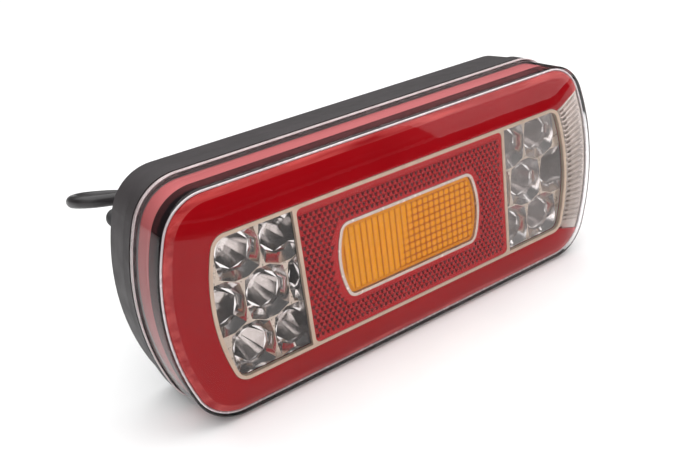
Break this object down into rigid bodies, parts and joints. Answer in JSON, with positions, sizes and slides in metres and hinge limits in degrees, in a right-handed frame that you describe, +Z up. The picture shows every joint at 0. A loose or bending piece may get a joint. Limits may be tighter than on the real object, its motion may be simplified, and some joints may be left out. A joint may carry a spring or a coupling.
{
  "type": "trailer tail light",
  "caption": "Long multi-function LED trailer tail light with a red C-shaped ring, clear end windows, red retro-reflector, amber indicator window and a loose rear cable.",
  "frame": {"origin": "middle of the two mounting studs, on the flat back face of the housing", "axes": "+X along the lamp towards its clear ribbed end, +Y out of the back along the studs (the lit face looks to -Y), +Z up"},
  "size_m": [0.24, 0.2023, 0.102],
  "materials": {
    "housing_black": "fine textured moulding",
    "seal_grey": "matt sealing bead",
    "clear_lens": "polished clear acrylic",
    "bezel_black": "satin black moulding",
    "guide_red": "tinted light guide",
    "carrier_grey": "plain grey moulding",
    "lens_red": "polished transparent red",
    "optic_clear": "clear acrylic with fine ribs",
    "trim_bright": "satin metallised",
    "reflex_red": "micro-prism retro-reflector",
    "rim_bright": "satin metallised",
    "lens_amber": "transparent amber with flutes",
    "reflector_chrome": "vacuum metallised",
    "board_green": "solder resist",
    "led_body": "white package with phosphor",
    "component_black": "moulded packages",
    "header_white": "nylon",
    "zinc_steel": "zinc plated",
    "rubber_black": "matt rubber",
    "wire_insulation": "coloured insulation",
    "cable_sheath": "smooth black sheath",
    "tie_black": "nylon"
  },
  "bodies": {
    "root": {"rear_housing": "housing_black", "lens_seal": "seal_grey", "outer_lens": "clear_lens", "inner_bezel": "bezel_black", "tail_light_guide": "guide_red", "optics_carrier": "carrier_grey", "red_ring_lens": "lens_red", "end_rib_optic": "optic_clear", "panel_trim": "trim_bright", "reflex_reflector": "reflex_red", "amber_rim": "rim_bright", "amber_lens": "lens_amber", "indicator_reflector": "reflector_chrome", "left_reflector": "reflector_chrome", "right_reflector": "reflector_chrome", "led_board": "board_green", "left_cluster_leds": "led_body", "right_cluster_leds": "led_body", "indicator_leds": "led_body", "tail_leds": "led_body", "driver_board": "board_green", "driver_components": "component_black", "wire_header": "header_white", "board_screws": "zinc_steel", "mounting_studs": "zinc_steel", "vent_plug": "rubber_black", "cable_outlet": "rubber_black", "inner_wires": "wire_insulation", "cable_lead": "cable_sheath", "cable_tail": "cable_sheath", "cable_coil": "cable_sheath", "cable_tie": "tie_black", "cable_cores": "wire_insulation"}
  },
  "joints": []
}
